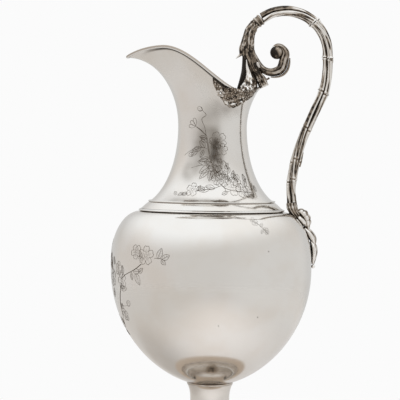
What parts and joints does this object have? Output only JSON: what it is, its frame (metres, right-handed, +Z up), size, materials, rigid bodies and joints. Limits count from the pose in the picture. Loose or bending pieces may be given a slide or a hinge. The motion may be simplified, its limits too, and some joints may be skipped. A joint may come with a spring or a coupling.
{
  "type": "wine carafe",
  "caption": "Silver wine carafe with a round bowl on a trumpet foot, a flared neck with a long pouring lip and a cast handle of bundled bamboo canes",
  "frame": {"origin": "middle of the foot, on the table", "axes": "+Z up, lip towards -X, handle towards +X, so the handle's plane is XZ"},
  "size_m": [0.1566, 0.14, 0.32],
  "materials": {
    "silver_body": "satin polished raised silver sheet with fine wear and engraved sprays",
    "silver_bright": "bright polished silver wire and mouldings",
    "silver_cast": "cast and chased silver, dark oxide left in the recesses"
  },
  "bodies": {
    "root": {"bowl": "silver_body", "neck": "silver_body", "rim_wire": "silver_bright", "neck_reed": "silver_bright", "shoulder_band": "silver_body", "shoulder_step": "silver_bright", "stem_collar": "silver_bright", "stem": "silver_body", "foot_reed": "silver_bright", "foot_band": "silver_body", "foot_rim": "silver_bright", "rim_mount_left": "silver_cast", "rim_mount_right": "silver_cast", "mount_blossoms": "silver_cast", "handle_sheath": "silver_cast", "handle_root": "silver_cast", "root_thorn": "silver_cast", "branch_stub": "silver_cast", "stub_twig": "silver_cast", "scroll_arm": "silver_cast", "scroll_ball": "silver_cast", "scroll_leaf": "silver_cast", "cane_binding": "silver_cast", "cane_near": "silver_cast", "cane_outer": "silver_cast", "cane_inner": "silver_cast", "cane_shoots": "silver_cast", "cane_foot": "silver_cast", "husk_outer": "silver_cast", "husk_upper": "silver_cast", "husk_middle": "silver_cast", "husk_lower": "silver_cast", "husk_bead": "silver_cast"}
  },
  "joints": []
}
